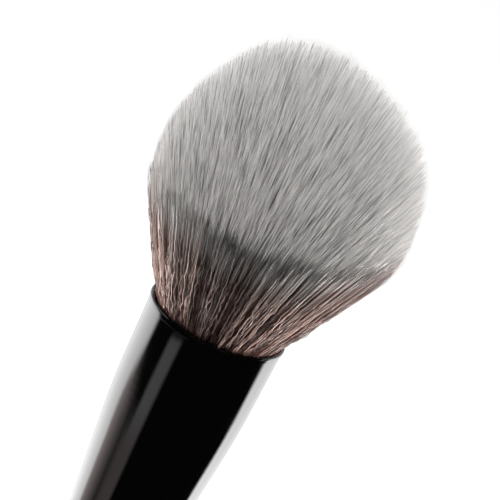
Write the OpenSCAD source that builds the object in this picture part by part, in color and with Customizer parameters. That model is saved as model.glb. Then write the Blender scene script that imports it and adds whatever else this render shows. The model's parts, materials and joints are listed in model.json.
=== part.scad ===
// Kabuki makeup brush with a round two-tone head, a drawn ferrule and a short standing grip.
// Millimetres, +Z up along the brush, origin at the centre of the base.

/* [Ferrule] */
// Outside diameter of the ferrule at its mouth
mouth_d = 24; // [21:0.5:27]
// Thickness of the ferrule's drawn wall
wall = 0.6; // [0.4:0.1:1]
// Length of the ferrule, from its seam with the grip up to its mouth
ferrule_len = 46; // [42:1:54]
// Length of the nearly straight collar under the mouth
collar_len = 18; // [15:1:22]
// Diameter that the collar loses on its way down
collar_taper = 0.7; // [0:0.1:1.2]
// Half-angle of the cone under the collar, in degrees
cone_angle = 5; // [3:0.5:6]
// Length over which the collar blends into the cone
shoulder_blend = 12; // [6:1:16]
// Height of the rolled lip round the mouth
lip_h = 1; // [0.7:0.1:1.6]
// How far the rolled lip stands proud of the collar
lip_proud = 0.15; // [0.05:0.05:0.3]

/* [Grip] */
// Height of the bare grip, from the base to the ferrule's seam
grip_len = 28; // [26:1:40]
// Diameter of the base that the brush stands on
base_d = 26; // [22:0.5:30]
// Rounding of the base's edge
base_round = 1.2; // [0.6:0.2:2]
// Lean of the grip just above the base, in degrees
base_lean = 9; // [2:1:12]
// Set-back of the grip at the seam, inside the ferrule's outside
seam_step = 0.15; // [0.05:0.05:0.3]
// Length of the tenon that goes up inside the ferrule
tenon_len = 23; // [18:1:27]
// Chamfer on the tenon's top edge
tenon_chamfer = 0.8; // [0.4:0.1:1.2]
// Number of glue grooves round the tenon
groove_count = 4; // [2:1:5]
// Radius of each groove's round bottom
groove_r = 0.8; // [0.6:0.1:1]
// Depth of each groove
groove_depth = 0.5; // [0.3:0.1:0.6]

/* [Adhesive] */
// Slip gap between the tenon and the ferrule's narrow tail
tail_gap = 0.1; // [0.05:0.01:0.2]
// Height above the seam at which the adhesive starts
glue_start = 5; // [4:0.5:8]
// Film left between any cured part and the wall beside it
film = 0.05; // [0.02:0.01:0.08]

/* [Weight and base cap] */
// Diameter of the steel weight in the grip
weight_d = 9; // [6:0.5:10]
// Length of the steel weight
weight_len = 18; // [10:1:20]
// Clearance round the weight and above it
weight_play = 0.1; // [0.05:0.05:0.3]
// Diameter of the cap that closes the base
cap_d = 17; // [14:0.5:18]
// Thickness of the cap's plate
cap_t = 2; // [1.2:0.2:3]
// Length of the cap's spigot under the weight
spigot_len = 3; // [2:0.5:5]
// Clearance round the cap and its spigot
cap_play = 0.1; // [0.05:0.05:0.2]
// Chamfer on the edges of the cap and the weight
edge_chamfer = 0.3; // [0.2:0.1:0.6]

/* [Knot] */
// Depth of the resin's top face below the mouth
knot_depth = 8; // [6:0.5:10]
// Thickness of the slice of resin that the filaments are rooted in
slice_t = 2; // [1.6:0.2:3]
// Height of the resin block under the slices
resin_h = 6.4; // [5.6:0.2:7.4]
// Diameter of the thread that binds the knot
thread_d = 0.7; // [0.5:0.05:0.8]
// Clear gap between two turns of the thread
thread_gap = 0.5; // [0.45:0.05:0.6]
// Number of turns that the thread makes
thread_turns = 2; // [1.5:0.5:3]
// Gap between the slices of resin
slice_gap = 0.1; // [0.05:0.01:0.15]

/* [Head] */
// Lean of the outermost filaments, in degrees
head_flare = 26.5; // [20:0.5:30]
// Radius of the dome that the tips lie on
dome_r = 21.7; // [19:0.1:24]
// Height of the dome's centre above the mouth
dome_up = 26.2; // [22:0.2:30]
// Sideways shift of the dome's centre, as worn in by use
dome_shift = 0.8; // [0:0.1:1.5]

/* [Filaments] */
// Number of rings of strands round the one in the middle
ring_count = 11; // [10:1:11]
// Rings that belong to the centre of the head
centre_rings = 5; // [4:1:6]
// Last ring that belongs to the middle of the head
middle_rings = 8; // [7:1:9]
// Gap between the bore and the axis of the outermost strands
rim_gap = 0.7; // [0.6:0.05:0.9]
// Thickness of a strand where it passes the mouth
strand_d = 0.6; // [0.4:0.05:0.65]
// Share of a strand's free length at which its taper starts
taper_from = 0.84; // [0.6:0.02:0.9]
// Share by which the strands are drawn together at their roots
root_squeeze = 0.06; // [0:0.01:0.08]
// Unevenness of the strands' places at the mouth
strand_scatter = 0.06; // [0:0.01:0.1]
// Unevenness of the tips' reach, as a share of the strand's length
tip_scatter = 0.03; // [0:0.01:0.06]

/* [Hidden] */

filament_outer_colour = [0.40, 0.31, 0.29];
filament_middle_colour = [0.62, 0.60, 0.60];
filament_centre_colour = [0.86, 0.86, 0.87];
resin_colour = [0.72, 0.55, 0.27];
thread_colour = [0.85, 0.80, 0.70];
lacquer_colour = [0.05, 0.05, 0.06];
grip_colour = [0.09, 0.09, 0.10];
steel_colour = [0.60, 0.62, 0.65];
cap_colour = [0.16, 0.16, 0.17];

// Facets of a true turned surface, of a slice, and steps of the blend and of the grip's curve
turn_fn = 96;
slice_fn = 20;
blend_steps = 8;
grip_steps = 14;
arc_steps = 6;

// Heights and radii of the ferrule
seam_z = grip_len;
mouth_z = grip_len + ferrule_len;
shoulder_z = mouth_z - collar_len;
collar_slope = collar_taper / 2 / collar_len;
cone_slope = tan(cone_angle);
shoulder_r = mouth_d / 2 - collar_taper / 2;
blend_drop = (cone_slope - collar_slope) * shoulder_blend / 2;

// Outside radius of the ferrule at height z: a cone, a smooth blend, then the collar
function outside_r(z) =
    let (above = z - shoulder_z)
    let (s = min(1, above / shoulder_blend + 0.5))
    s > 0
        ? shoulder_r + collar_slope * above - blend_drop * pow(1 - s, 2)
        : shoulder_r + cone_slope * above;

function bore_r(z) = outside_r(z) - wall;

// Heights from z0 to z1 at which the ferrule's wall has a corner
function stops(z0, z1) = [
    z0,
    for (i = [0:blend_steps])
        let (z = shoulder_z + shoulder_blend * (i / blend_steps - 0.5))
        if (z > z0 + film && z < z1 - film) z,
    z1
];

function reversed(list) = [for (i = [len(list) - 1:-1:0]) list[i]];

function arc(centre, r, from, to) = [
    for (i = [0:arc_steps])
        let (a = from + (to - from) * i / arc_steps)
        centre + r * [cos(a), sin(a)]
];

// Outline of a turned blank with both edges chamfered
function chamfered(r, z0, z1, cut) = [
    [0, z0],
    [r - cut, z0],
    [r, z0 + cut],
    [r, z1 - cut],
    [r - cut, z1],
    [0, z1]
];

// The rolled lip
lip_half = (wall + lip_proud) / 2;
lip_centre = [bore_r(mouth_z) + lip_half, mouth_z - lip_half];

// The grip's curve, from the rounded base up to the seam
base_arc_centre = [base_d / 2 - base_round, base_round];
grip_start = base_arc_centre + base_round * [cos(base_lean), sin(base_lean)];
grip_end = [outside_r(seam_z) - seam_step, seam_z];
grip_rise = grip_end.y - grip_start.y;

// Point of the grip's curve at share s of its height, held to its lean at both ends
function grip_point(s) =
    let (low = 2 * pow(s, 3) - 3 * pow(s, 2) + 1)
    let (low_lean = pow(s, 3) - 2 * pow(s, 2) + s)
    let (high_lean = pow(s, 3) - pow(s, 2))
    [
        low * grip_start.x + (1 - low) * grip_end.x
            + grip_rise * (high_lean * cone_slope - low_lean * tan(base_lean)),
        grip_start.y + grip_rise * s
    ];

// The tenon, its grooves and the bore under it
tenon_r = bore_r(seam_z) - tail_gap;
tenon_top = seam_z + tenon_len;
groove_pitch = (tenon_len - glue_start) / groove_count;
groove_heights = [for (i = [0:groove_count - 1]) seam_z + glue_start + groove_pitch * (i + 0.5)];
groove_axis = tenon_r - groove_depth + groove_r;
weight_z = cap_t + spigot_len + weight_play;
weight_top = weight_z + weight_len;
bore_top = weight_top + weight_play;
weight_bore_r = weight_d / 2 + weight_play;

// The knot, from the resin block up to the slices
slice_z = mouth_z - knot_depth - slice_t;
slice_top = slice_z + slice_t;
root_z = slice_z + slice_t / 2;
resin_z = slice_z - resin_h;
thread_pitch = thread_d + thread_gap;
thread_span = thread_pitch * thread_turns + thread_d;
thread_z = resin_z + (resin_h - thread_span) / 2;
thread_r = bore_r(resin_z) - film - thread_d;

// The thread's path: turns of 24 points, with a straight tail of one diameter at each end
thread_points_a_turn = 24;
thread_sides = 6;
thread_steps = thread_turns * thread_points_a_turn;

// Seat of the thread in the resin, clear of the straight runs between its points
thread_seat_r = (thread_r - thread_d / 2) * cos(180 / thread_points_a_turn) - film;

function thread_turn_point(i) =
    let (a = 360 * i / thread_points_a_turn)
    [
        thread_r * cos(a),
        thread_r * sin(a),
        thread_z + thread_d / 2 + thread_pitch * i / thread_points_a_turn
    ];

function thread_tail(i, way) =
    let (a = 360 * i / thread_points_a_turn)
    thread_turn_point(i) + way * thread_d * [-sin(a), cos(a), 0];

thread_path = concat(
    [thread_tail(0, -1)],
    [for (i = [0:thread_steps]) thread_turn_point(i)],
    [thread_tail(thread_steps, 1)]
);

// Least clear gap between a point of the thread and the turns one turn on from it
thread_least_gap = min([
    for (i = [0:thread_steps - thread_points_a_turn + 1])
        for (j = [thread_points_a_turn - 3:thread_points_a_turn + 3])
            if (i + j < len(thread_path)) norm(thread_path[i + j] - thread_path[i])
]) - thread_d;
echo(str("Least gap of the binding thread to itself: ", thread_least_gap, " mm"));

// The fan of strands: all straight lines above the mouth meet in one point below it
outer_ring_r = bore_r(mouth_z) - rim_gap;
ring_pitch = outer_ring_r / ring_count;
fan_depth = outer_ring_r / tan(head_flare);
scatter_seed = 41;
ring_turn = 137.5;

// How far the field of strands has spread at height z, against the mouth
function spread(z) = z < mouth_z
    ? 1 - root_squeeze * (mouth_z - z) / knot_depth
    : 1 + (z - mouth_z) / fan_depth;

// Three even draws between -1 and 1 that belong to one strand
function draws(ring, i) = rands(-1, 1, 3, scatter_seed + 100 * ring + i);

// Where a strand passes the mouth
function strand_foot(ring, i) =
    let (nudge = draws(ring, i))
    let (a = ring_turn * ring + 60 * i / max(1, ring))
    ring_pitch * (ring * [cos(a), sin(a)] + strand_scatter * [nudge.x, nudge.y]);

// Height above the mouth at which the line through a foot leaves the dome
function dome_reach(foot) =
    let (way = [foot.x / fan_depth, foot.y / fan_depth, 1])
    let (back = [foot.x - dome_shift, foot.y, -dome_up])
    let (a = way * way)
    let (b = way * back)
    let (c = back * back - pow(dome_r, 2))
    (sqrt(max(0, b * b - a * c)) - b) / a;

// Corners of a strand's three-sided section at height z
function strand_section(foot, z, turn) =
    let (grown = spread(z))
    [
        for (k = [0:2])
            let (a = turn + 120 * k)
            [
                grown * (foot.x + strand_d / 2 * cos(a)),
                grown * (foot.y + strand_d / 2 * sin(a)),
                z
            ]
    ];

// One filament strand: a three-sided rod that runs to a point on the dome
module strand(ring, i) {
    foot = strand_foot(ring, i);
    nudge = draws(ring, i);
    reach = dome_reach(foot) * (1 + tip_scatter * (nudge.z - 1) / 2);
    turn = 180 * nudge.z;
    heights = [root_z, slice_top, mouth_z, mouth_z + taper_from * reach];
    tip_z = mouth_z + reach;
    tip = [foot.x * spread(tip_z), foot.y * spread(tip_z), tip_z];
    sections = [for (z = heights) each strand_section(foot, z, turn)];
    rings = len(heights);
    apex = 3 * rings;
    sides = [
        for (r = [0:rings - 2])
            for (k = [0:2])
                let (low = 3 * r)
                let (next = (k + 1) % 3)
                each [
                    [low + k, low + 3 + k, low + 3 + next],
                    [low + k, low + 3 + next, low + next]
                ]
    ];
    point = [for (k = [0:2]) [apex - 3 + k, apex, apex - 3 + (k + 1) % 3]];
    polyhedron(concat(sections, [tip]), concat([[0, 1, 2]], sides, point), convexity = 4);
}

function strands_in(ring) = max(1, 6 * ring);

// Radius of the edge of the resin slice that ends with this ring of strands
function slice_edge(ring) = spread(slice_top) * ring_pitch * (ring + 0.5);

// The slice of resin that a group of strands is rooted in, as a disc or a ring
module slice(first, last) {
    outer_low = last == ring_count ? bore_r(slice_z) - film : slice_edge(last) - slice_gap / 2;
    outer_top = last == ring_count ? bore_r(slice_top) - film : outer_low;
    difference() {
        translate([0, 0, slice_z])
            cylinder(r1 = outer_low, r2 = outer_top, h = slice_t, $fn = slice_fn);
        if (first > 0)
            translate([0, 0, slice_z - slice_t])
                cylinder(r = slice_edge(first - 1) + slice_gap / 2, h = 3 * slice_t, $fn = slice_fn);
    }
}

// A group of rings, with its slice. Resizing by nothing keeps the size and leaves one mesh.
module filaments(first, last) {
    resize([0, 0, 0])
        union() {
            slice(first, last);
            for (ring = [first:last])
                for (i = [0:strands_in(ring) - 1])
                    strand(ring, i);
        }
}

// Short filaments round the edge of the head, dark up to their tips
module outer_filaments() {
    color(filament_outer_colour)
        filaments(middle_rings + 1, ring_count);
}

// Filaments between the edge and the centre of the head
module middle_filaments() {
    color(filament_middle_colour)
        filaments(centre_rings + 1, middle_rings);
}

// Long filaments that carry the pale top of the dome
module centre_filaments() {
    color(filament_centre_colour)
        filaments(0, centre_rings);
}

// Block of cured resin that holds the knot in the ferrule, with a seat for the thread
module knot_resin() {
    low_r = bore_r(resin_z) - film;
    top_r = bore_r(slice_z) - film;
    seat_low = thread_z - film;
    seat_top = thread_z + thread_span + film;
    color(resin_colour)
        rotate_extrude($fn = turn_fn)
            polygon([
                [0, resin_z],
                [low_r, resin_z],
                [low_r, seat_low],
                [thread_seat_r, seat_low],
                [thread_seat_r, seat_top],
                [low_r, seat_top],
                [top_r, slice_z],
                [0, slice_z]
            ]);
}

// The thread that binds the knot: one unbroken tube wound round the resin
module binding_thread() {
    count = len(thread_path);
    rings = [
        for (i = [0:count - 1])
            let (a = 360 * min(thread_steps, max(0, i - 1)) / thread_points_a_turn)
            for (k = [0:thread_sides - 1])
                let (b = 360 * k / thread_sides)
                thread_path[i] + thread_d / 2 * [cos(b) * cos(a), cos(b) * sin(a), sin(b)]
    ];
    sides = [
        for (i = [0:count - 2])
            for (k = [0:thread_sides - 1])
                let (low = thread_sides * i)
                let (next = (k + 1) % thread_sides)
                each [
                    [low + k, low + next, low + thread_sides + next],
                    [low + k, low + thread_sides + next, low + thread_sides + k]
                ]
    ];
    last = thread_sides * (count - 1);
    start_fan = [for (k = [1:thread_sides - 2]) [0, k + 1, k]];
    end_fan = [for (k = [1:thread_sides - 2]) [last, last + k, last + k + 1]];
    color(thread_colour)
        polyhedron(rings, concat(start_fan, sides, end_fan), convexity = 6);
}

// Drawn metal ferrule: a cone, a collar and a rolled lip, open at both ends
module ferrule() {
    skirt = [for (z = stops(seam_z + seam_step, mouth_z - lip_h)) [outside_r(z), z]];
    lip_foot = [outside_r(mouth_z) + lip_proud, mouth_z - lip_h + lip_proud];
    inside = [for (z = stops(seam_z, mouth_z - lip_half)) [bore_r(z), z]];
    color(lacquer_colour)
        rotate_extrude($fn = turn_fn)
            polygon(concat(
                [[outside_r(seam_z) - seam_step, seam_z]],
                skirt,
                [lip_foot],
                arc(lip_centre, lip_half, 0, 180),
                reversed(inside)
            ));
}

// Section of the ridge of adhesive that fills a groove, up to just inside the sleeve
module glue_ridge(z) {
    intersection() {
        translate([groove_axis, z])
            circle(r = groove_r - film, $fn = 32);
        translate([0, z - groove_r])
            square([tenon_r + 2 * film, 2 * groove_r]);
    }
}

// Cured adhesive between the tenon and the widening ferrule, keyed into the grooves
module handle_adhesive() {
    glue_z = seam_z + glue_start;
    outside = [for (z = stops(glue_z, tenon_top)) [bore_r(z) - film, z]];
    color(resin_colour)
        rotate_extrude($fn = turn_fn)
            union() {
                polygon(concat(
                    [[tenon_r + film, glue_z]],
                    outside,
                    [[tenon_r + film, tenon_top]]
                ));
                for (z = groove_heights)
                    glue_ridge(z);
            }
}

// Outline of the grip and its tenon, as turned from one blank
module handle_outline() {
    base_arc = arc(base_arc_centre, base_round, -90, base_lean);
    curve = [for (i = [1:grip_steps]) grip_point(i / grip_steps)];
    polygon(concat(
        [[0, 0]],
        base_arc,
        curve,
        [
            [tenon_r, seam_z],
            [tenon_r, tenon_top - tenon_chamfer],
            [tenon_r - tenon_chamfer, tenon_top],
            [0, tenon_top]
        ]
    ));
}

// Lacquered grip with its tenon, glue grooves, weight bore and cap recess
module handle() {
    below = 1;
    color(grip_colour)
        difference() {
            rotate_extrude($fn = turn_fn)
                handle_outline();
            for (z = groove_heights)
                translate([0, 0, z])
                    rotate_extrude($fn = turn_fn)
                        translate([groove_axis, 0])
                            circle(r = groove_r, $fn = 32);
            translate([0, 0, -below])
                cylinder(r = cap_d / 2 + cap_play, h = cap_t + below, $fn = turn_fn);
            translate([0, 0, -below])
                cylinder(r = weight_bore_r, h = bore_top + below, $fn = turn_fn);
        }
}

// Steel slug that lets the brush stand on its base
module weight() {
    color(steel_colour)
        rotate_extrude($fn = turn_fn)
            polygon(chamfered(weight_d / 2, weight_z, weight_top, edge_chamfer));
}

// Cap that closes the bore: a flat plate with a spigot under the weight
module base_cap() {
    spigot_r = weight_bore_r - cap_play;
    color(cap_colour)
        rotate_extrude($fn = turn_fn)
            polygon([
                [0, 0],
                [cap_d / 2 - edge_chamfer, 0],
                [cap_d / 2, edge_chamfer],
                [cap_d / 2, cap_t],
                [spigot_r, cap_t],
                [spigot_r, cap_t + spigot_len - edge_chamfer],
                [spigot_r - edge_chamfer, cap_t + spigot_len],
                [0, cap_t + spigot_len]
            ]);
}

outer_filaments();
middle_filaments();
centre_filaments();
knot_resin();
binding_thread();
ferrule();
handle_adhesive();
handle();
weight();
base_cap();
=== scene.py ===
# %% [markdown]
# # A domed powder brush: synthetic filaments, lacquered ferrule and standing grip
#
# The part is a short makeup brush. Its solids come from a CAD frame, and this lesson dresses them. The hard
# pieces keep their solids and get layered finishes. The head is another matter: the solids hold a few
# hundred coarse strands, and here they give way to about forty thousand fine filaments that follow the same
# fan and dome.

# %% Load the frame
import json
import math

import bmesh
import bpy
import numpy as np
from mathutils import Matrix, Vector

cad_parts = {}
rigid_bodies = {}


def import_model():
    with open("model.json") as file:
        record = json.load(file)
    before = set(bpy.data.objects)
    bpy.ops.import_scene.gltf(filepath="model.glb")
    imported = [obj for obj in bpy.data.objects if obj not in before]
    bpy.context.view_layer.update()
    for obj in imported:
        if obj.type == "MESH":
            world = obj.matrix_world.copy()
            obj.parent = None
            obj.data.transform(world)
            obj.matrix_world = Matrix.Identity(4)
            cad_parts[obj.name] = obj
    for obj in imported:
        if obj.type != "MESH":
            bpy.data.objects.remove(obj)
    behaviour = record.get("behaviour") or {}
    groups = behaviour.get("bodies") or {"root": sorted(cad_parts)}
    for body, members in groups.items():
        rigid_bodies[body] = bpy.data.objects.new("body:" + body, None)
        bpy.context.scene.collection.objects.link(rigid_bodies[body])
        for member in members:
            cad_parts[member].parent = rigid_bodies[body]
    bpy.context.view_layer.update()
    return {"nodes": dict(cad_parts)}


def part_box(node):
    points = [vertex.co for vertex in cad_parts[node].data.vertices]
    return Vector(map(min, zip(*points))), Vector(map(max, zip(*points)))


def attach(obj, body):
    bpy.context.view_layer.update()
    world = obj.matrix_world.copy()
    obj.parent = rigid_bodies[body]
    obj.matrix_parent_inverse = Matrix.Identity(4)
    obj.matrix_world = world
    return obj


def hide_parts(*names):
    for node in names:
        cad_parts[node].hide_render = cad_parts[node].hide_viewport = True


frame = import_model()
nodes = frame["nodes"]

# %% [markdown]
# ## Sizes that everything shares
#
# The ferrule's mouth is where the head starts, so the heights of the head are counted from it. Lengths are
# in metres because the frame is, and a small constant turns millimetres into them.

# %% Shared sizes
MM = 0.001
COLLAR_LENGTH = 18 * MM
ferrule_low, ferrule_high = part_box("ferrule")
mouth_z = ferrule_high.z
shoulder_z = mouth_z - COLLAR_LENGTH
seam_z = ferrule_low.z
bore_radius = 11.4 * MM
print("The mouth is at", round(mouth_z / MM, 2), "mm and the seam at", round(seam_z / MM, 2), "mm")

# %% [markdown]
# ## The camera
#
# The photograph looks down on the head at about 21 degrees, and the brush leans to the right in it. A camera
# that is turned about its own view direction gives that lean without moving the brush off its base. It
# stands about two and a half brush lengths away.

# %% Camera
camera_distance = 0.30
camera_elevation = math.radians(20.74)
camera_roll = math.radians(26)
camera_target = Vector((-0.286 * MM, 0, mouth_z + 13 * MM))

camera = bpy.data.objects.new("camera", bpy.data.cameras.new("camera"))
bpy.context.collection.objects.link(camera)
camera.data.sensor_width = 36
camera.data.lens = 132.9
camera.data.clip_start, camera.data.clip_end = 0.01, 20
back = Vector((0, -math.cos(camera_elevation), math.sin(camera_elevation)))
camera.location = camera_target + camera_distance * back
camera.rotation_euler = (
    (-back).to_track_quat("-Z", "Y").to_matrix() @ Matrix.Rotation(camera_roll, 3, "Z")
).to_euler()
bpy.context.scene.camera = camera
bpy.context.scene.view_settings.view_transform = "Standard"

# %% [markdown]
# ## Helpers for materials
#
# A finish is a small graph of nodes, and short helpers keep the graphs readable. The first ones start a
# material, feed a node's sockets, and add a node with its settings.

# %% Material helpers
def start_material(name):
    """A new material, its node tree and its Principled shader, with nothing else in it."""
    material = bpy.data.materials.new(name)
    material.use_nodes = True
    tree = material.node_tree
    return material, tree, tree.nodes["Principled BSDF"]


def feed(tree, node, values):
    """Gives a node's sockets numbers, colours or another node's output."""
    for socket, value in values.items():
        if isinstance(value, bpy.types.NodeSocket):
            tree.links.new(value, node.inputs[socket])
        else:
            node.inputs[socket].default_value = value


def add(tree, kind, values=None, **settings):
    """One node: its settings are named, and its sockets are fed with the values."""
    node = tree.nodes.new("ShaderNode" + kind)
    for setting, value in settings.items():
        setattr(node, setting, value)
    feed(tree, node, values or {})
    return node


def maths(tree, operation, first, second=0.0, third=0.0):
    """The result of one sum, product or comparison."""
    values = {0: first, 1: second, 2: third}
    return add(tree, "Math", values, operation=operation).outputs[0]


# %% [markdown]
# The others add what comes up most in a finish: a colour ramp, a change of range, a mix of colours, the
# place on the piece, its distance from the brush's axis, a noise, and a relief.

# %% Pattern helpers
def ramp(tree, factor, stops):
    """A colour ramp: stops is a list of (place, colour)."""
    node = add(tree, "ValToRGB", {"Fac": factor})
    elements = node.color_ramp.elements
    while len(elements) < len(stops):
        elements.new(0.5)
    for element, (place, colour) in zip(elements, stops):
        element.position = place
        element.color = (*colour, 1)
    return node.outputs["Color"]


def scale_range(tree, value, low, high, to_low=0.0, to_high=1.0):
    """A value moved from one range to another and held inside it."""
    values = {"Value": value, "From Min": low, "From Max": high, "To Min": to_low, "To Max": to_high}
    return add(tree, "MapRange", values).outputs["Result"]


def mix_colours(tree, factor, first, second):
    """A mix of two colours, each a colour or another node's output."""
    first, second = [c if isinstance(c, bpy.types.NodeSocket) else (*c, 1) for c in (first, second)]
    return add(tree, "Mix", {0: factor, 6: first, 7: second}, data_type="RGBA").outputs[2]


def object_place(tree):
    return add(tree, "TexCoord").outputs["Object"]


def split(tree, place):
    """The x, y and z of a place."""
    return add(tree, "SeparateXYZ", {0: place}).outputs


def from_axis(tree, place):
    """Distance from the brush's axis."""
    x, y, _ = split(tree, place)
    return maths(tree, "SQRT", maths(tree, "ADD", maths(tree, "POWER", x, 2), maths(tree, "POWER", y, 2)))


def noise(tree, place, scale, detail):
    return add(tree, "TexNoise", {"Vector": place, "Scale": scale, "Detail": detail}).outputs["Fac"]


def emboss(tree, shader, height, strength, depth):
    """A relief under the shader, as deep as depth where the height changes by one."""
    relief = add(tree, "Bump", {"Strength": strength, "Distance": depth, "Height": height})
    feed(tree, shader, {"Normal": relief.outputs[0]})
    return relief


# %% [markdown]
# ## The filament's finish
#
# Each filament is dyed: reddish brown from its root, and pale up to its tip. The colour therefore follows
# the length along the filament, not the place in space. The filaments carry a UV map for it, with a column
# for each of 128 kinds of filament across and the length along the filament up. White noise drawn from the
# column makes one filament paler or darker than its neighbour, or turn pale a little later. About a fifth
# of the kinds are painted much darker, as painted shade for the shadows between the filaments. The last 24
# kinds are for the loose strands at the rim. Their brown is painted lighter and the bundled brown darker:
# lit and shaded copies of one dye, which are painted light and painted shade. Thin plastic also lets light
# through, so a Translucent shader is mixed in.

# %% Filament finish
KINDS = 128
LOOSE_KINDS = 24
BUNDLED_KINDS = KINDS - LOOSE_KINDS
LENGTH_SHOWN = 64 * MM
ROOT_DEPTH = 7 * MM
# The colours are placed along this many millimetres from the mouth, and vary by this many between kinds.
DYED_MM = 40
UNEVEN_MM = 6.0
SHARE_LET_THROUGH = 0.3
# The bundled brown is painted darker and the loose brown lighter: shaded and lit copies of one dye, painted
# shade and painted light.
BUNDLED_BROWN_PAINTED_SHADE = [(0.00, (0.22, 0.118, 0.102)), (0.10, (0.27, 0.156, 0.136)), (0.36, (0.34, 0.212, 0.185))]
LOOSE_BROWN_PAINTED_LIGHT = [(0.00, (0.56, 0.390, 0.335)), (0.10, (0.66, 0.490, 0.430)), (0.30, (0.74, 0.590, 0.530))]
PALE = [(0.45, (0.62, 0.53, 0.50)), (0.54, (0.85, 0.83, 0.815)), (1.00, (0.92, 0.905, 0.89))]
# Random tones per kind. The kinds low on this ramp are painted dark, down to a tenth, as painted shade
# between the filaments.
TONES_AND_PAINTED_SHADE = [(0.0, 0.10), (0.17, 0.22), (0.27, 0.82), (1.0, 1.18)]


def filament_material():
    material, tree, shader = start_material("dyed_filament")
    uv = add(tree, "UVMap", uv_map="OFBake").outputs["UV"]
    across, along, _ = split(tree, uv)
    kind = maths(tree, "FLOOR", maths(tree, "MULTIPLY", across, KINDS))
    chance = add(tree, "TexWhiteNoise", {"W": kind}, noise_dimensions="1D").outputs["Color"]
    late, lightness, _ = add(tree, "SeparateColor", {0: chance}).outputs
    length = maths(tree, "MULTIPLY_ADD", along, LENGTH_SHOWN / MM, -ROOT_DEPTH / MM)
    moved = maths(tree, "MULTIPLY_ADD", late, -UNEVEN_MM, UNEVEN_MM / 2)
    share = scale_range(tree, maths(tree, "ADD", length, moved), 0, DYED_MM)
    # Painted light: the loose kinds take the lighter brown, the bundled ones the darker, painted-shade brown.
    loose_painted_light = maths(tree, "GREATER_THAN", kind, BUNDLED_KINDS - 0.5)
    bundled = ramp(tree, share, BUNDLED_BROWN_PAINTED_SHADE + PALE)
    colour = mix_colours(tree, loose_painted_light, bundled, ramp(tree, share, LOOSE_BROWN_PAINTED_LIGHT + PALE))
    # Painted shade: the dark kinds stand in for the shadows between filaments, and the rest vary at random.
    tone_and_painted_shade = ramp(tree, lightness, [(place, (grey,) * 3) for place, grey in TONES_AND_PAINTED_SHADE])
    multiply = dict(data_type="RGBA", blend_type="MULTIPLY", clamp_result=True)
    varied = add(tree, "Mix", {0: 1.0, 6: colour, 7: tone_and_painted_shade}, **multiply).outputs[2]
    gloss = {"Roughness": 0.3, "Specular IOR Level": 0.7, "Specular Tint": (1.0, 0.88, 0.85, 1)}
    feed(tree, shader, {"Base Color": varied} | gloss)
    through = add(tree, "BsdfTranslucent", {"Color": varied})
    mixed = add(tree, "MixShader", {0: SHARE_LET_THROUGH, 1: shader.outputs[0], 2: through.outputs[0]})
    feed(tree, tree.nodes["Material Output"], {"Surface": mixed.outputs[0]})
    return material


filament_finish = filament_material()
print("Kinds of filament:", BUNDLED_KINDS, "in the bundle and", LOOSE_KINDS, "loose")

# %% [markdown]
# ## One filament
#
# A real filament is a fine round rod that is ground to a point. Seen from a step away it is about half a
# pixel wide, so a three-sided rod is enough. It starts as a triangle, is extruded once for each ring, and
# its last ring is pinched to a point. Three patterns are made: a plain one for the filaments inside the
# head, and two with more rings for the rim and the loose strands, where the crimp of the filaments shows.

# %% One filament
ROOT_RING_SHARE = 0.16


def filament_pattern(shares):
    """A closed three-sided rod of radius 1 whose rings lie at heights 0, 1, 2 and so on."""
    bm = bmesh.new()
    bmesh.ops.create_circle(bm, cap_ends=True, segments=3, radius=1)
    top = bm.faces[:]
    for _ in shares[1:]:
        grown = bmesh.ops.extrude_face_region(bm, geom=top)["geom"]
        corners = [g for g in grown if isinstance(g, bmesh.types.BMVert)]
        bmesh.ops.translate(bm, verts=corners, vec=(0, 0, 1))
        top = [g for g in grown if isinstance(g, bmesh.types.BMFace)]
    bmesh.ops.pointmerge(bm, verts=corners, merge_co=(0, 0, len(shares) - 1))
    bmesh.ops.recalc_face_normals(bm, faces=bm.faces[:])
    bm.verts.index_update()
    places = np.array([v.co for v in bm.verts])
    ring = np.rint(places[:, 2]).astype(int)
    sizes, corners, side = [], [], []
    for face in bm.faces:
        around = [math.atan2(v.co.y, v.co.x) / math.tau % 1 for v in face.verts]
        apex = [abs(v.co.x) + abs(v.co.y) < 0.5 for v in face.verts]
        rim = [a for a, at_apex in zip(around, apex) if not at_apex]
        wraps = max(rim) - min(rim) > 0.5 and len({round(a, 2) for a in rim}) == 2
        for vertex, a, at_apex in zip(face.verts, around, apex):
            a = a + 1 if wraps and a < 0.5 else a
            a = sum(r + (wraps and r < 0.5) for r in rim) / len(rim) if at_apex else a
            corners.append(vertex.index)
            side.append(a)
        sizes.append(len(face.verts))
    bm.free()
    side = np.array(side)
    return dict(
        xy=places[:, :2],
        ring=ring,
        corner=np.array(corners),
        size=np.array(sizes),
        side=(side - side.min()) / (side.max() - side.min()),
        shares=np.array(shares),
    )


def crimped_pattern(steps):
    """A filament with one ring at its foot and the others close together along its free length."""
    spread = 1 - ROOT_RING_SHARE
    return filament_pattern([0] + [ROOT_RING_SHARE + spread * i / steps for i in range(steps + 1)])


buried_pattern = filament_pattern([0, 0.3, 0.62, 0.8, 0.92, 1])
rim_pattern = crimped_pattern(13)
loose_pattern = crimped_pattern(22)
patterns = (buried_pattern, rim_pattern, loose_pattern)
print("Faces of the filament patterns:", [len(pattern["size"]) for pattern in patterns])

# %% [markdown]
# ## Where the filaments stand and how they gather
#
# At the mouth the filaments fill a disc, placed like the seeds of a sunflower so that no gap or row shows,
# and above the mouth they fan out from one point below it. Static and wear gather them into little locks,
# whose tips lean together. The gaps between locks are the dark streaks of the photograph. Every filament
# belongs to its nearest lock, and each lock has its own pull and its own slight lean. Broad locks lean as
# well.

# %% Feet and locks
rng = np.random.default_rng(17)
FILAMENTS = 40000
FINE_LOCKS = 4800
BROAD_LOCKS = 110
BLOCK = 4000
FAN_DEPTH = 22.0 * MM
FOOT_RADIUS = bore_radius - 0.15 * MM


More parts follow.
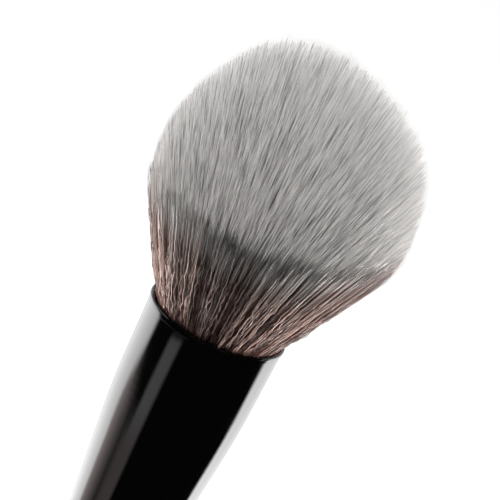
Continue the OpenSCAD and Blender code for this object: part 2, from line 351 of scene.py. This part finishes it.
def sunflower(count, radius, jitter):
    """Even places on a disc, each moved by up to a share of the space between them."""
    index = np.arange(count)
    r = radius * np.sqrt((index + 0.5) / count)
    angle = index * math.pi * (3 - math.sqrt(5))
    pitch = radius * math.sqrt(math.pi / count)
    points = np.stack([r * np.cos(angle), r * np.sin(angle)], 1)
    points += rng.uniform(-jitter, jitter, (count, 2)) * pitch
    return points / np.maximum(1, np.hypot(*points.T) / radius)[:, None]


def nearest(points, centres):
    """Index of the nearest centre to each point, in blocks so that the table of distances stays small."""
    found = np.empty(len(points), int)
    for start in range(0, len(points), BLOCK):
        block = points[start : start + BLOCK]
        found[start : start + BLOCK] = ((block[:, None] - centres) ** 2).sum(2).argmin(1)
    return found


def leans(count, degrees):
    """Random leans to all sides, mostly under the given angle."""
    return rng.normal(0, math.tan(math.radians(degrees)), (count, 2))


feet = sunflower(FILAMENTS, FOOT_RADIUS, 0.45)
fine_locks = sunflower(FINE_LOCKS, FOOT_RADIUS, 0.5)
broad_locks = sunflower(BROAD_LOCKS, FOOT_RADIUS, 0.5)
fine = nearest(feet, fine_locks)
broad = nearest(feet, broad_locks)
tightness = 0.95 * rng.random(FINE_LOCKS) ** 1.2
pull = tightness[fine][:, None] * (fine_locks[fine] - feet)
lean = leans(FINE_LOCKS, 0.35)[fine] + leans(BROAD_LOCKS, 0.25)[broad] + leans(FILAMENTS, 0.45)
print(FILAMENTS, "filaments gather in", FINE_LOCKS, "fine and", BROAD_LOCKS, "broad locks")

# %% [markdown]
# ## How far the filaments reach
#
# The tips lie on a dome that has nearly the centre of the solids' dome. Its radius is 1 mm more, because
# most filaments stop a little short of it, by up to the depth of the fringe, which gives the head its soft
# edge. A few low, broad swellings make it the worn, slightly square dome of the photograph. Those at the
# crown, the left and the right belong to the far half of the dome, up to the outline that the photograph
# shows. Each filament's line is cut by that dome.

# %% Reach
DOME_RADIUS = 22.7 * MM
DOME_CENTRE = np.array([0.75, 0.0, 26.2]) * MM
FRINGE = 1.8 * MM
LONGER_BY = 0.45 * MM


def hump(*terms):
    """A smooth hump of height 1: each term is a coordinate, the place of the top and the width."""
    return np.exp(-sum(((value - top) / width) ** 2 for value, top, width in terms))


def swelling(way):
    """How far the dome stands out in each direction from its centre."""
    x, y, z = way.T
    shoulder = 0.7 * hump((z, 0.68, 0.25))
    crown = 1.7 * hump((z, 1.0, 0.16), (x, -0.15, 0.45))
    left = 1.9 * hump((z, 0.82, 0.2), (x, -0.52, 0.32))
    right = 0.6 * hump((z, 0.45, 0.3), (x, 0.85, 0.3))
    waves = 0.15 * np.sin(4.1 * x + 1.3) * np.cos(3.7 * y - 0.4)
    far_half = 1 / (1 + np.exp(-(y + 0.1) / 0.12))
    return (shoulder + far_half * (crown + left + right) + waves) * MM


def dome_height(start, way, radius):
    """Height above the mouth at which the line from each start leaves the dome."""
    from_centre = np.concatenate([start, np.zeros((len(start), 1))], 1) - DOME_CENTRE
    way = np.concatenate([way, np.ones((len(way), 1))], 1)
    a = (way * way).sum(1)
    b = (way * from_centre).sum(1)
    c = (from_centre * from_centre).sum(1) - radius**2
    return (np.sqrt(np.maximum(0, b * b - a * c)) - b) / a


start = feet + pull
way = start / FAN_DEPTH + lean
reach = dome_height(start, way, DOME_RADIUS)
tips = np.concatenate([start + reach[:, None] * way, reach[:, None]], 1) - DOME_CENTRE
towards = tips / np.linalg.norm(tips, axis=1)[:, None]
reach = dome_height(start, way, DOME_RADIUS + swelling(towards))
reach -= (FRINGE - rng.exponential(LONGER_BY, FILAMENTS)).clip(0, None)
print("Filaments reach", (reach.min() / MM).round(1), "to", (reach.max() / MM).round(1), "mm above the mouth")

# %% [markdown]
# ## Bend the copies and build the pieces
#
# Each copy of the pattern gets its own centre line: upright in the ferrule, then out along the fan, with its
# lock's lean and pull and, near the root, the kinks of a crimped filament. The copies differ too much for
# instances, and a loop over forty thousand of them would be slow, so the places are worked out for all
# copies at once.

# %% Centre lines
CRIMP_START = 2 * MM
CRIMP_TOP = 20 * MM
GATHER_LENGTH = 7 * MM
STAND_OFF_LENGTH = 5 * MM
ROOT_SQUEEZE = 0.05


def smooth(value, low, high):
    """A share that rises from 0 at low to 1 at high, with a level start and end."""
    share = ((value - low) / (high - low)).clip(0, 1)
    return share * share * (3 - 2 * share)


def centre_lines(chosen, shares, kink, stand_off):
    """Places (copies, rings, 3) of the centre lines, and the lengths along them from the mouth."""
    foot, up = feet[chosen], reach[chosen][:, None]
    z = -ROOT_DEPTH + shares * (up + ROOT_DEPTH)
    outside = np.maximum(0, z)
    grown = 1 + outside / FAN_DEPTH - ROOT_SQUEEZE * smooth(-z, 0, ROOT_DEPTH)
    gathered = smooth(outside - up, -GATHER_LENGTH, 0)[..., None] * pull[chosen][:, None]
    xy = grown[..., None] * (foot[:, None] + gathered) + outside[..., None] * lean[chosen][:, None]
    crimped = smooth(z, 0, CRIMP_START) * (1 - smooth(z, 0.4 * CRIMP_TOP, CRIMP_TOP))
    size = rng.uniform(0.3, 1.0, (len(chosen), 1, 1)) * kink
    xy += rng.normal(0, 1, xy.shape) * size * crimped[..., None]
    away = rng.uniform(0.2, 1.0, (len(chosen), 1)) * stand_off
    off_axis = np.hypot(*foot.T)[:, None]
    xy += (smooth(z, 0, STAND_OFF_LENGTH) * away)[..., None] * (foot / off_axis)[:, None]
    slant = np.sqrt(1 + (off_axis / FAN_DEPTH) ** 2)
    return np.concatenate([xy, (z + mouth_z)[..., None]], 2), z * np.where(z > 0, slant, 1)


# %% [markdown]
# A mesh is filled with arrays of places, corners and faces. Each filament then gets its column and its
# length in the UV map. The brown reaches higher up the outer filaments on the right, as in the photograph.

# %% Filament meshes
THICKNESS_SPREAD = 0.12
TIP_NARROWING = 0.15


def mesh_of_copies(name, pattern, places):
    """One mesh from the places (copies, corners of the pattern, 3) of all its copies."""
    copies, sizes = len(places), np.tile(pattern["size"], len(places))
    mesh = bpy.data.meshes.new(name)
    mesh.vertices.add(copies * len(pattern["ring"]))
    mesh.vertices.foreach_set("co", places.astype(np.float32).ravel())
    mesh.loops.add(copies * len(pattern["corner"]))
    offsets = len(pattern["ring"]) * np.arange(copies)[:, None]
    mesh.loops.foreach_set("vertex_index", (offsets + pattern["corner"]).ravel().astype(np.int32))
    mesh.polygons.add(len(sizes))
    starts = np.concatenate([[0], np.cumsum(sizes)[:-1]])
    mesh.polygons.foreach_set("loop_start", starts.astype(np.int32))
    mesh.polygons.foreach_set("use_smooth", np.ones(len(sizes), bool))
    mesh.update(calc_edges=True)
    return mesh


def build_filaments(name, chosen, pattern, thickness, taper_from, kink, stand_off, node):
    """Builds one piece: a bent copy of the pattern for each chosen filament."""
    shares, ring, copies = pattern["shares"], pattern["ring"], len(chosen)
    lines, length = centre_lines(chosen, shares, kink, stand_off)
    wide = rng.normal(thickness, THICKNESS_SPREAD * thickness, (copies, 1)) / 2
    free = ((shares - taper_from) / (1 - taper_from)).clip(0, 1)
    radius = wide * (1 - TIP_NARROWING * free) * np.sqrt(1 - free**2)
    turn = rng.uniform(0, math.tau, (copies, 1))
    x, y = pattern["xy"].T
    section = np.stack([x * np.cos(turn) - y * np.sin(turn), x * np.sin(turn) + y * np.cos(turn)], 2)
    places = lines[:, ring]
    places[..., :2] += section * radius[:, ring][..., None]
    mesh = mesh_of_copies(name, pattern, places)
    first_kind, last_kind = (BUNDLED_KINDS, KINDS) if stand_off else (0, BUNDLED_KINDS)
    kind = rng.integers(first_kind, last_kind, (copies, 1))
    u = (kind + 0.1 + 0.8 * pattern["side"]) / KINDS
    dyed = (length - dyed_later[chosen][:, None])[:, ring[pattern["corner"]]].clip(-ROOT_DEPTH, None)
    v = (dyed + ROOT_DEPTH) / LENGTH_SHOWN
    uv = mesh.uv_layers.new(name="OFBake")
    uv.data.foreach_set("uv", np.stack([u, v], 2).astype(np.float32).ravel())
    mesh.validate()
    mesh.materials.append(filament_finish)
    piece = bpy.data.objects.new(name, mesh)
    bpy.context.collection.objects.link(piece)
    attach(piece, "root")
    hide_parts(node)
    print(name, copies, "filaments,", copies * int((pattern["size"] - 2).sum()), "triangles")


# %% [markdown]
# The head is cut into rings that match the three groups of solids, and into sectors, because one mesh would
# be too heavy to handle. The rim is a ring of its own, with more kinks, and its loose strands are thicker
# and stand off a little.

# %% Filament pieces
LATEST_DYE = 7 * MM
LOOSE_FROM = 0.965
LOOSE_SHARE = 0.18

distance = np.hypot(*feet.T) / FOOT_RADIUS
dyed_later = LATEST_DYE * smooth(feet[:, 0] / FOOT_RADIUS, 0.35, 1.0) * smooth(distance, 0.8, 0.95)
sector = (np.arctan2(feet[:, 1], feet[:, 0]) / math.tau) % 1
loose = (distance > LOOSE_FROM) & (rng.random(FILAMENTS) < LOOSE_SHARE)
# Each row has a name, the inner and outer edge as shares of the disc, the number of sectors and the pattern,
# then the thickness, the share at which the taper starts, the kink and the stand-off, and last node and slot.
GROUPS = [
    ("centre", 0.00, 0.48, 2, buried_pattern, 0.110, 0.78, 0.02, 0, "centre_filaments", "filament_white"),
    ("middle", 0.48, 0.74, 3, buried_pattern, 0.110, 0.76, 0.04, 0, "middle_filaments", "filament_grey"),
    ("outer", 0.74, 0.94, 4, buried_pattern, 0.110, 0.76, 0.04, 0, "outer_filaments", "filament_brown"),
    ("rim", 0.94, 1.01, 3, rim_pattern, 0.105, 0.62, 0.11, 0, "outer_filaments", "filament_brown"),
    ("loose", 0.94, 1.01, 1, loose_pattern, 0.150, 0.60, 0.17, 0.5, "outer_filaments", "filament_brown"),
]
for name, inner, outer, parts, pattern, thickness, taper_from, kink, stand_off, node, slot in GROUPS:
    in_ring = (distance >= inner) & (distance < outer) & (loose == (name == "loose"))
    for part in range(parts):
        build_filaments(
            f"filaments_{name}_{part + 1}",
            np.flatnonzero(in_ring & (sector >= part / parts) & (sector < (part + 1) / parts)),
            pattern,
            thickness * MM,
            taper_from,
            kink * MM,
            stand_off * MM,
            node,
        )

# %% [markdown]
# ## A sprayed coat, for two pieces
#
# The ferrule is drawn metal under gloss black lacquer, and the grip wears the same lacquer. A gloss black
# surface shows its surroundings and hardly any colour of its own, so what makes it believable is small: the
# orange peel of a sprayed coat, the smears of fingers, and an edge that is rubbed a little dull. Both pieces
# need them, so they are one node group with its own inputs. It only puts out values. The shader stays in
# each material.

# %% Sprayed coat
def coat_group():
    """Roughness, height and a mask of rubbed edges for a sprayed and polished coat."""
    group = bpy.data.node_groups.new("sprayed_coat", "ShaderNodeTree")
    group.interface.new_socket("Place", in_out="INPUT", socket_type="NodeSocketVector")
    for name in ("Peel Scale", "Smear Scale", "Low Roughness", "High Roughness", "Rub Height", "Rub Width"):
        group.interface.new_socket(name, in_out="INPUT", socket_type="NodeSocketFloat")
    for name in ("Roughness", "Height", "Rubbed"):
        group.interface.new_socket(name, in_out="OUTPUT", socket_type="NodeSocketFloat")
    given = group.nodes.new("NodeGroupInput").outputs
    place = given["Place"]
    peel = noise(group, place, given["Peel Scale"], 1.0)
    smears = noise(group, place, given["Smear Scale"], 5.0)
    smeared = scale_range(group, smears, 0.42, 0.72, given["Low Roughness"], given["High Roughness"])
    away = maths(group, "ABSOLUTE", maths(group, "SUBTRACT", split(group, place)["Z"], given["Rub Height"]))
    near = maths(group, "SUBTRACT", 1.0, maths(group, "DIVIDE", away, given["Rub Width"]))
    grit = noise(group, place, 900.0, 4.0)
    rubbed = scale_range(group, maths(group, "MULTIPLY_ADD", near, 0.35, grit), 0.72, 0.86)
    wanted = {
        "Roughness": maths(group, "MULTIPLY_ADD", rubbed, 0.3, smeared),
        "Height": maths(group, "MULTIPLY_ADD", rubbed, -1.5, peel),
        "Rubbed": rubbed,
    }
    feed(group, group.nodes.new("NodeGroupOutput"), wanted)
    return group


sprayed_coat = coat_group()


def coat(tree, rub_height, rub_width):
    """Coats a material, and hands back the place, the mask of the rubbed edge and the relief."""
    shader = tree.nodes["Principled BSDF"]
    place = object_place(tree)
    values = {"Place": place, "Peel Scale": 900.0, "Smear Scale": 160.0}
    values |= {"Low Roughness": 0.05, "High Roughness": 0.11}
    values |= {"Rub Height": rub_height, "Rub Width": rub_width}
    layer = add(tree, "Group", values, node_tree=sprayed_coat).outputs
    feed(tree, shader, {"Roughness": layer["Roughness"]})
    return place, layer["Rubbed"], emboss(tree, shader, layer["Height"], 0.02, 0.02 * MM)


def dress(node, material):
    nodes[node].material_slots[0].material = material
    print(node, "wears", material.name)


# %% [markdown]
# ## Ferrule
#
# The lacquer is only on the outside of the shell. Inside, where the knot is glued, the drawn metal is bare.
# The two sides are told apart by their distance from the axis, which the cone and the collar change with
# height: whatever lies outside the middle of the wall is lacquered. The coat is rubbed a little at the seam.

# %% Ferrule finish
SEAM_RADIUS = 9.2 * MM
SHOULDER_RADIUS = 11.65 * MM
COLLAR_SPREAD = 0.35 * MM
LACQUER_LIMIT = 0.42 * MM


def ferrule_material():
    material, tree, shader = start_material("gloss_black_lacquer")
    place, rubbed, _ = coat(tree, seam_z, 0.5 * MM)
    height = split(tree, place)["Z"]
    cone = scale_range(tree, height, seam_z, shoulder_z, SEAM_RADIUS, SHOULDER_RADIUS)
    collar = scale_range(tree, height, shoulder_z, mouth_z, 0, COLLAR_SPREAD)
    wall_middle = maths(tree, "SUBTRACT", maths(tree, "ADD", cone, collar), LACQUER_LIMIT)
    outside = maths(tree, "GREATER_THAN", from_axis(tree, place), wall_middle)
    lacquer = mix_colours(tree, rubbed, (0.006, 0.006, 0.007), (0.030, 0.030, 0.032))
    colour = mix_colours(tree, outside, (0.52, 0.50, 0.47), lacquer)
    feed(tree, shader, {"Base Color": colour, "Metallic": maths(tree, "SUBTRACT", 1.0, outside)})
    return material


dress("ferrule", ferrule_material())

# %% [markdown]
# ## Grip
#
# The grip stands on its rounded foot, and that is where its lacquer is rubbed dull first. The CAD solid
# builds the flare from short cones, and a black mirror shows every one of them as a step. So the shader gets
# the normal of the curve that the cones follow: its slope is the derivative of the grip's cubic profile.
# Only the outer wall takes it, and every other face keeps its own normal.

# %% Grip finish
CURVE_START_Z = 1.39 * MM
WALL_FROM_RADIUS = 8.9 * MM
# The curve's slope is a quadratic in the share of its height: these are its three coefficients.
SLOPE_SQUARE, SLOPE_LINEAR, SLOPE_START = 0.675, -0.429, -0.158


def curve_normal(tree, x, y, z, radius):
    """The normal of the grip's curve: out from the axis, and up or down by its slope."""
    share = scale_range(tree, z, CURVE_START_Z, seam_z)
    inner = maths(tree, "MULTIPLY_ADD", share, SLOPE_SQUARE, SLOPE_LINEAR)
    slope = maths(tree, "MULTIPLY_ADD", share, inner, SLOPE_START)
    rise = maths(tree, "MULTIPLY", maths(tree, "MULTIPLY", slope, radius), -1)
    way = add(tree, "CombineXYZ", {0: x, 1: y, 2: rise}).outputs[0]
    return add(tree, "VectorMath", {0: way}, operation="NORMALIZE").outputs[0]


def grip_material():
    material, tree, shader = start_material("grip_black_lacquer")
    place, rubbed, relief = coat(tree, 0.0, 1.6 * MM)
    radius = from_axis(tree, place)
    x, y, z = split(tree, place)
    outside = maths(tree, "GREATER_THAN", radius, WALL_FROM_RADIUS)
    wall = maths(tree, "MULTIPLY", outside, maths(tree, "GREATER_THAN", z, CURVE_START_Z))
    own_normal = add(tree, "NewGeometry").outputs["Normal"]
    normals = {0: wall, 4: own_normal, 5: curve_normal(tree, x, y, z, radius)}
    feed(tree, relief, {"Normal": add(tree, "Mix", normals, data_type="VECTOR").outputs[1]})
    colour = mix_colours(tree, rubbed, (0.008, 0.008, 0.009), (0.040, 0.040, 0.042))
    feed(tree, shader, {"Base Color": colour})
    return material


dress("handle", grip_material())

# %% [markdown]
# ## Cap in the base
#
# The cap is moulded in matt black plastic. Its mould was etched, which leaves an even fine grain, and
# sliding over dressing tables has polished the highest grains a little.

# %% Cap finish
def cap_material():
    material, tree, shader = start_material("grained_black_plastic")
    place = object_place(tree)
    grain = noise(tree, place, 3200.0, 2.0)
    scuffs = noise(tree, place, 240.0, 6.0)
    polished = scale_range(tree, maths(tree, "MULTIPLY_ADD", grain, 0.4, scuffs), 0.66, 0.84)
    colour = mix_colours(tree, scuffs, (0.022, 0.022, 0.024), (0.042, 0.042, 0.044))
    feed(tree, shader, {"Base Color": colour, "Roughness": scale_range(tree, polished, 0, 1, 0.62, 0.38)})
    emboss(tree, shader, grain, 0.5, 0.03 * MM)
    return material


dress("base_cap", cap_material())

# %% [markdown]
# ## Weight
#
# The weight is a length of steel bar that was turned on a lathe, so its tool marks run round it. A noise
# that is squeezed along the axis gives them: it changes quickly with height and hardly at all round the bar.

# %% Weight finish
def turned_steel():
    material, tree, shader = start_material("turned_steel")
    place = object_place(tree)
    squeezed = add(tree, "Mapping", {"Vector": place, "Scale": (40, 40, 9000)}).outputs[0]
    marks = noise(tree, squeezed, 1.0, 2.0)
    stain = noise(tree, place, 180.0, 4.0)
    colour = mix_colours(tree, stain, (0.50, 0.50, 0.51), (0.60, 0.61, 0.63))
    roughness = scale_range(tree, marks, 0.3, 0.7, 0.22, 0.40)
    feed(tree, shader, {"Base Color": colour, "Metallic": 1.0, "Roughness": roughness})
    emboss(tree, shader, marks, 0.3, 0.02 * MM)
    return material


dress("weight", turned_steel())

# %% [markdown]
# ## Resin and adhesive
#
# The knot is cast in amber epoxy, and the same kind of epoxy holds the grip's tenon. Cured epoxy is glossy
# and slightly cloudy, with small bubbles that were stirred in. The bubbles are the cells of a Voronoi
# pattern, cut off at a small radius.

# %% Resin finish
def cured_resin():
    material, tree, shader = start_material("cured_epoxy")
    place = object_place(tree)
    cloud = noise(tree, place, 220.0, 3.0)
    cells = add(tree, "TexVoronoi", {"Vector": place, "Scale": 750.0}).outputs["Distance"]
    bubble = scale_range(tree, cells, 0.16, 0.24, 1.0, 0.0)
    amber = mix_colours(tree, scale_range(tree, cloud, 0.35, 0.65), (0.40, 0.23, 0.07), (0.58, 0.38, 0.15))
    colour = mix_colours(tree, bubble, amber, (0.72, 0.58, 0.36))
    feed(tree, shader, {"Base Color": colour, "Roughness": scale_range(tree, cloud, 0.3, 0.7, 0.14, 0.30)})
    emboss(tree, shader, bubble, 0.6, 0.05 * MM)
    return material


epoxy = cured_resin()
dress("knot_resin", epoxy)
dress("handle_adhesive", epoxy)

# %% [markdown]
# ## Binding thread
#
# The thread that ties the knot is waxed cotton, twisted from a few plies. The plies cross the thread at a
# slant. A sine of the angle round the brush plus some of the height draws those slanting ridges, and a fine
# noise adds the fuzz. The same sine makes the colour paler on the ridges and darker in the grooves between
# them, which is painted shade.

# %% Thread finish
PLIES_ROUND = 110.0
PLY_SLANT = 7000.0


def waxed_thread():
    material, tree, shader = start_material("waxed_cotton")
    place = object_place(tree)
    x, y, z = split(tree, place)
    slant = maths(tree, "MULTIPLY", z, PLY_SLANT)
    wave = maths(tree, "SINE", maths(tree, "MULTIPLY_ADD", maths(tree, "ARCTAN2", y, x), PLIES_ROUND, slant))
    ply_height_and_painted_shade = scale_range(tree, wave, -1, 1)
    fuzz = noise(tree, place, 2600.0, 3.0)
    # Painted shade: the colour is darker where the ply sine is low, in the grooves between the ridges.
    colour = mix_colours(tree, ply_height_and_painted_shade, (0.52, 0.45, 0.34), (0.76, 0.70, 0.58))
    feed(tree, shader, {"Base Color": colour, "Roughness": scale_range(tree, fuzz, 0.3, 0.7, 0.50, 0.78)})
    emboss(tree, shader, maths(tree, "MULTIPLY_ADD", fuzz, 0.4, ply_height_and_painted_shade), 0.6, 0.08 * MM)
    return material


dress("binding_thread", waxed_thread())

# %% [markdown]
# ## Floor
#
# The brush stands on a pale floor that runs to a white background. A white that came from strong lamps would
# also bleach the brush. So the floor and the world glow only for rays from the camera, off gloss and through
# clear things, and the lamps stay at a plain level. The floor keeps the brush's shadow.

# %% Floor
FLOOR_GLOW = 0.93

floor_bm = bmesh.new()
bmesh.ops.create_grid(floor_bm, x_segments=1, y_segments=1, size=6)
floor_mesh = bpy.data.meshes.new("floor")
floor_bm.to_mesh(floor_mesh)
floor_bm.free()
floor = bpy.data.objects.new("floor", floor_mesh)
bpy.context.collection.objects.link(floor)


def seen_directly(tree):
    """1 for a ray from the camera, off a glossy surface or through a clear one, and 0 for the rest."""
    path = add(tree, "LightPath").outputs
    pair = maths(tree, "ADD", path["Is Camera Ray"], path["Is Glossy Ray"])
    rays = {0: pair, 1: path["Is Transmission Ray"]}
    return add(tree, "Math", rays, operation="ADD", use_clamp=True).outputs[0]


def floor_material():
    material, tree, shader = start_material("pale_floor")
    glow = maths(tree, "MULTIPLY", seen_directly(tree), FLOOR_GLOW)
    feed(tree, shader, {"Base Color": (0.8, 0.8, 0.8, 1), "Roughness": 0.9, "Specular IOR Level": 0})
    feed(tree, shader, {"Emission Color": (1, 1, 1, 1), "Emission Strength": glow})
    return material


floor_mesh.materials.append(floor_material())
print("The floor is", floor.dimensions.x, "m wide")

# %% [markdown]
# ## Background
#
# The world is white where it is seen, and for everything else it gives only a trace of light.

# %% World
WORLD_SEEN, WORLD_FILL = 1.0, 0.02

world = bpy.data.worlds.new("white_studio")
bpy.context.scene.world = world
world.use_nodes = True
strength = scale_range(world.node_tree, seen_directly(world.node_tree), 0, 1, WORLD_FILL, WORLD_SEEN)
backdrop = world.node_tree.nodes["Background"]
feed(world.node_tree, backdrop, {"Color": (1, 1, 1, 1), "Strength": strength})
print("The background glows at", WORLD_SEEN, "for the camera and", WORLD_FILL, "for the brush")

# %% [markdown]
# ## Lamps
#
# The photograph is a product picture: white light from both sides and a strong one from behind, which catch
# the flanks of the head and leave the roots in front almost black. Low lamps at the sides light the root
# zone, because the head flares and its underside faces them. Soft lamps in front and above fill the dome.
#
# Light linking says what each lamp lights. The side lamps, the one behind and the low ones light all
# filaments and nothing else. The lamps in front and above leave out the outermost filaments, because their
# light would lift the black between the roots, and the one above also lights the hard pieces and the floor.
# One more lamp in front lights only the loose strands, which stand out against that black. The two that lie
# on the table aren't linked and light everything.

# %% Lamps
def softbox(name, radiance, width, height, place, facing, mirrored=False):
    """A rectangular lamp at place that faces a point, with its brightness given as radiance."""
    light = bpy.data.lights.new(name, "AREA")
    light.shape = "RECTANGLE"
    light.size, light.size_y = width, height
    light.energy = radiance * math.pi * width * height
    lamp = bpy.data.objects.new(name, light)
    bpy.context.collection.objects.link(lamp)
    lamp.location = place
    lamp.rotation_euler = (Vector(facing) - Vector(place)).to_track_quat("-Z", "Y").to_euler()
    lamp.visible_camera = False
    lamp.visible_glossy = mirrored
    return lamp


head = (0, 0, mouth_z + 20 * MM)
roots = (0, 0, mouth_z + 6 * MM)
top_lamp = softbox("top_softbox", 1.8, 0.6, 0.5, (0.0, -0.16, 0.62), head)
softbox("left_table_lamp", 1.6, 0.30, 0.32, (-0.20, 0.157, 0.001), (-0.20, 0.157, 1))
softbox("right_table_lamp", 1.4, 0.30, 0.26, (0.20, 0.195, 0.001), (0.20, 0.195, 1))
side_lamps = [
    softbox("left_softbox", 0.8, 0.40, 0.20, (-0.28, 0.12, 0.18), head, mirrored=True),
    softbox("right_softbox", 1.2, 0.40, 0.20, (0.28, 0.14, 0.18), head, mirrored=True),
    softbox("back_softbox", 22.0, 0.5, 0.2, (0.0, 0.42, 0.22), head, mirrored=True),
]
front_lamp = softbox("front_softbox", 2.6, 0.5, 0.5, (0.0, -0.44, 0.46), head, mirrored=True)
low_lamps = [
    softbox("left_low_lamp", 48.0, 0.24, 0.12, (-0.25, 0.10, 0.01), roots, mirrored=True),
    softbox("right_low_lamp", 60.0, 0.24, 0.12, (0.25, 0.11, 0.01), roots, mirrored=True),
]
strand_lamp = softbox("strand_lamp", 3.2, 0.30, 0.20, (0.0, -0.36, 0.12), roots, mirrored=True)


def light_only(lamps, starts):
    """These lamps light only the objects whose names start like this."""
    lit = bpy.data.collections.new("lit_by_" + lamps[0].name)
    for piece in [o for o in bpy.context.scene.objects if o.name.startswith(starts)]:
        lit.objects.link(piece)
    for lamp in lamps:
        lamp.light_linking.receiver_collection = lit


light_only(side_lamps + low_lamps, "filaments_")
inner_pieces = ("filaments_centre", "filaments_middle", "filaments_outer")
light_only([front_lamp], inner_pieces)
light_only([top_lamp], inner_pieces + ("ferrule", "handle", "base_cap", "floor"))
light_only([strand_lamp], "filaments_loose")

# %% [markdown]
# ## What the lacquer mirrors
#
# The lacquer is a black mirror, so its look is the look of the studio round it. In the photograph the front
# of the ferrule mirrors a dark room, a bright table starts at each side, and on the left a narrow pale gap
# leaves a grey stripe. A sheet just above the floor, which only reflections see, glows in that way: its
# brightness follows the angle round the brush, and near the brush a warm dim zone comes in, which the cone
# mirrors. A black tent stands behind the camera, so that the lip doesn't mirror the white world.

# %% Glow of the table
FULL_GLOW = 10
WARM = (1.0, 0.87, 0.85)


def stage_piece(name, bm):
    """A black matt piece of the studio that reflections see and the camera doesn't."""
    mesh = bpy.data.meshes.new(name)
    bm.to_mesh(mesh)
    bm.free()
    material, tree, shader = start_material(name)
    feed(tree, shader, {"Base Color": (0.002, 0.002, 0.002, 1), "Roughness": 1.0, "Specular IOR Level": 0})
    mesh.materials.append(material)
    piece = bpy.data.objects.new(name, mesh)
    bpy.context.collection.objects.link(piece)
    piece.visible_camera = False
    return piece, tree, shader


def round_table(degrees):
    """Place on a ramp that runs once round the table, for an angle from the camera's side."""
    return degrees / 360 + 0.5


def stops(pairs, tint=(1, 1, 1)):
    """Stops of a ramp round the table, from pairs of an angle and a glow of up to FULL_GLOW."""
    return [(round_table(angle), tuple(glow * share / FULL_GLOW for share in tint)) for angle, glow in pairs]


LEFT_GLOW = stops([(-180, 1.0), (-160, 1.3), (-140, 2.8), (-120, 4.2), (-103, 5.0)])
RIGHT_GLOW = stops([(106, 0.0), (114, 5.5), (126, 3.8), (142, 2.4), (160, 1.4), (180, 1.0)])
STRIPE = stops([(-96, 4.8), (-88, 0.0), (-58, 0.0), (-52, 1.05), (-38, 1.05), (-32, 0.0)])
NEAR_GLOW = stops([(-95, 2.0), (-66, 0.25), (-54, 0.7), (-38, 0.8)], WARM) + stops([(-32, 0.0)])
print("Stops of the glow round the table:", len(LEFT_GLOW + STRIPE + RIGHT_GLOW))

# %% [markdown]
# The near zone ends closer to the brush in front than on the left. The grey stripe ends where the lip would
# start to mirror it.

# %% Mirrored table and tent
NEAR_EDGE_LEFT, NEAR_EDGE_FRONT = 0.128, 0.088
STRIPE_MIDDLE, STRIPE_HALF_WIDTH, STRIPE_END = -45, 16, 0.1545


def mirrored_table():
    bm = bmesh.new()
    bmesh.ops.create_circle(bm, cap_ends=True, segments=64, radius=0.9)
    bmesh.ops.translate(bm, verts=bm.verts, vec=(0, 0, 0.8 * MM))
    piece, tree, shader = stage_piece("mirrored_table", bm)
    place = object_place(tree)
    x, y, _ = split(tree, place)
    turn = maths(tree, "ARCTAN2", x, maths(tree, "MULTIPLY", y, -1))
    turn = maths(tree, "MULTIPLY_ADD", turn, 1 / math.tau, 0.5)
    away = from_axis(tree, place)
    far_glow = ramp(tree, turn, LEFT_GLOW + STRIPE + RIGHT_GLOW)
    near_glow = ramp(tree, turn, LEFT_GLOW + NEAR_GLOW + RIGHT_GLOW)
    edge = scale_range(tree, turn, round_table(-91), round_table(-56), NEAR_EDGE_LEFT, NEAR_EDGE_FRONT)
    near = scale_range(tree, maths(tree, "SUBTRACT", edge, away), -0.020, 0.012)
    on_stripe = maths(tree, "COMPARE", turn, round_table(STRIPE_MIDDLE), STRIPE_HALF_WIDTH / 360)
    past_lip = maths(tree, "MULTIPLY", on_stripe, maths(tree, "GREATER_THAN", away, STRIPE_END))
    glow = maths(tree, "MULTIPLY_ADD", past_lip, -FULL_GLOW, FULL_GLOW)
    colour = mix_colours(tree, near, far_glow, near_glow)
    feed(tree, shader, {"Emission Color": colour, "Emission Strength": glow})
    piece.visible_diffuse = piece.visible_shadow = piece.visible_transmission = False


def spun_tent(radius, height, start, end):
    """A wall with a roof: its outline, spun round the brush from one side to the other."""
    bm = bmesh.new()
    corners = [bm.verts.new(c) for c in ((0, -radius, 0), (0, -radius, height), (0, 0, height))]
    outline = [bm.edges.new(pair) for pair in zip(corners, corners[1:])]
    bmesh.ops.rotate(bm, verts=corners, matrix=Matrix.Rotation(math.radians(start), 3, "Z"))
    bmesh.ops.spin(bm, geom=corners + outline, axis=(0, 0, 1), angle=math.radians(end - start), steps=40)
    stage_piece("black_tent", bm)


mirrored_table()
spun_tent(radius=1.3, height=1.3, start=-92, end=111)
